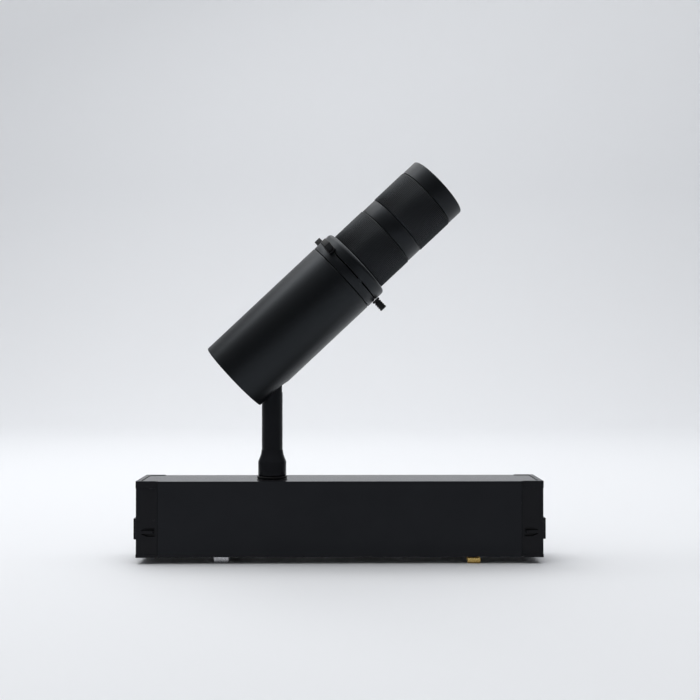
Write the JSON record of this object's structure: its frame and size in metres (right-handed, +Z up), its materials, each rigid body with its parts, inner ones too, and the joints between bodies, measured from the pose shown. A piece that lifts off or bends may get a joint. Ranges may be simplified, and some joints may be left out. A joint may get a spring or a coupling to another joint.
{
  "type": "ellipsoidal spotlight",
  "caption": "Ellipsoidal framing spotlight on a magnetic track driver box: swivelling stem, tilting tubular head, sliding and swinging shutters, knurled focus and zoom rings.",
  "frame": {"origin": "centre of the driver box's flat underside, the face that lies over the track; the magnets and contacts reach 4 mm lower", "axes": "+X along the driver box, from the magnet end towards the contact end and the way the head leans; +Y from the front face to the back; +Z up the stem"},
  "size_m": [0.245, 0.056, 0.2395],
  "materials": {
    "black_coat": "satin black powder coat",
    "black_plastic": "matte moulded black",
    "black_steel": "blackened",
    "nickel": "bright nickel plate",
    "brass": "bright",
    "bare_aluminium": "machined",
    "steel": "plain steel",
    "board_green": "solder mask",
    "winding": "taped winding",
    "white_plastic": "moulded white",
    "phosphor": "phosphor resin",
    "mirror": "polished",
    "glass": "clear polished"
  },
  "bodies": {
    "driver_box": {"driver_housing": "black_coat", "base_cover": "black_plastic", "magnet_front": "nickel", "magnet_rear": "nickel", "contact_front": "brass", "contact_rear": "brass", "contact_block": "white_plastic", "driver_board": "board_green", "transformer": "winding", "capacitor": "black_plastic", "choke": "winding", "end_cap_left": "black_plastic", "end_cap_right": "black_plastic", "tab_spring_left": "steel", "tab_spring_right": "steel", "friction_washer": "black_plastic"},
    "stem_arm": {"swivel_collar": "black_coat", "stem": "black_coat", "lock_nut": "steel"},
    "head": {"tilt_bracket": "steel", "tilt_pin": "steel", "tilt_washer_front": "white_plastic", "tilt_washer_rear": "white_plastic", "bracket_screw_1": "steel", "bracket_screw_2": "steel", "housing_tube": "black_coat", "rear_cap": "black_coat", "heatsink": "bare_aluminium", "led_board": "white_plastic", "led_emitter": "phosphor", "led_holder": "white_plastic", "reflector": "mirror", "condenser_holder": "black_plastic", "condenser_lens": "glass", "gate_ring": "black_coat", "aperture_plate": "black_steel", "gate_cover": "black_coat", "inner_barrel": "black_steel", "barrel_band": "black_coat", "front_bezel": "black_coat"},
    "focus_control": {"focus_ring": "black_coat"},
    "focus_cell": {"focus_carrier": "black_steel", "focus_lens": "glass"},
    "zoom_control": {"zoom_ring": "black_coat"},
    "zoom_cell": {"zoom_carrier": "black_steel", "zoom_lens": "glass"},
    "release_left": {"release_tab_left": "black_plastic"},
    "release_right": {"release_tab_right": "black_plastic"},
    "shutter_guide_1": {"shutter_shoe_1": "brass"},
    "shutter_1": {"shutter_blade_1": "black_steel", "shutter_handle_1": "black_plastic"},
    "shutter_guide_2": {"shutter_shoe_2": "brass"},
    "shutter_2": {"shutter_blade_2": "black_steel", "shutter_handle_2": "black_plastic"},
    "shutter_guide_3": {"shutter_shoe_3": "brass"},
    "shutter_3": {"shutter_blade_3": "black_steel", "shutter_handle_3": "black_plastic"},
    "shutter_guide_4": {"shutter_shoe_4": "brass"},
    "shutter_4": {"shutter_blade_4": "black_steel", "shutter_handle_4": "black_plastic"}
  },
  "joints": [
    {"name": "stem_pan", "type": "hinge", "parent": "driver_box", "child": "stem_arm", "pos_m": [-0.041, 0, 0.0445], "axis": [0, 0, 1], "range_deg": [-175, 175]},
    {"name": "head_tilt", "type": "hinge", "parent": "stem_arm", "child": "head", "pos_m": [-0.041, 0, 0.10334], "axis": [0, -1, 0], "range_deg": [-43.2, 46.8]},
    {"name": "shutter_1_swing", "type": "hinge", "parent": "head", "child": "shutter_guide_1", "pos_m": [0.00495, 0, 0.16981], "axis": [0.729, 0, 0.6845], "range_deg": [-14, 36]},
    {"name": "shutter_1_slide", "type": "slide", "parent": "shutter_guide_1", "child": "shutter_1", "axis": [-0.5868, 0.515, 0.6248], "range_m": [0, 0.0085]},
    {"name": "shutter_2_swing", "type": "hinge", "parent": "head", "child": "shutter_guide_2", "pos_m": [0.00495, 0, 0.16981], "axis": [0.729, 0, 0.6845], "range_deg": [-5, 45]},
    {"name": "shutter_2_slide", "type": "slide", "parent": "shutter_guide_2", "child": "shutter_2", "axis": [-0.44, -0.766, 0.4686], "range_m": [0, 0.0085]},
    {"name": "shutter_3_swing", "type": "hinge", "parent": "head", "child": "shutter_guide_3", "pos_m": [0.00495, 0, 0.16981], "axis": [0.729, 0, 0.6845], "range_deg": [-43, 7]},
    {"name": "shutter_3_slide", "type": "slide", "parent": "shutter_guide_3", "child": "shutter_3", "axis": [0.6841, -0.0349, -0.7285], "range_m": [0, 0.0085]},
    {"name": "shutter_4_swing", "type": "hinge", "parent": "head", "child": "shutter_guide_4", "pos_m": [0.00495, 0, 0.16981], "axis": [0.729, 0, 0.6845], "range_deg": [-25, 25]},
    {"name": "shutter_4_slide", "type": "slide", "parent": "shutter_guide_4", "child": "shutter_4", "axis": [0.2341, 0.9397, -0.2493], "range_m": [0, 0.0085]},
    {"name": "focus_turn", "type": "hinge", "parent": "head", "child": "focus_control", "pos_m": [0.0188, 0, 0.18282], "axis": [0.729, 0, 0.6845], "range_deg": [-75, 75]},
    {"name": "focus_travel", "type": "slide", "parent": "head", "child": "focus_cell", "axis": [0.729, 0, 0.6845], "range_m": [-0.005, 0.005]},
    {"name": "zoom_turn", "type": "hinge", "parent": "head", "child": "zoom_control", "pos_m": [0.0433, 0, 0.20582], "axis": [0.729, 0, 0.6845], "range_deg": [-80, 80]},
    {"name": "zoom_travel", "type": "slide", "parent": "head", "child": "zoom_cell", "axis": [0.729, 0, 0.6845], "range_m": [-0.006, 0.006]},
    {"name": "release_left_push", "type": "slide", "parent": "driver_box", "child": "release_left", "axis": [1, 0, 0], "range_m": [0, 0.0012], "stiffness_N_per_m": 600, "springref_m": -0.001},
    {"name": "release_right_push", "type": "slide", "parent": "driver_box", "child": "release_right", "axis": [-1, 0, 0], "range_m": [0, 0.0012], "stiffness_N_per_m": 600, "springref_m": -0.001}
  ],
  "couplings": [
    {"joint": "focus_turn", "follows": "focus_travel", "rad_per_m": 261.77},
    {"joint": "zoom_turn", "follows": "zoom_travel", "rad_per_m": 232.69}
  ]
}
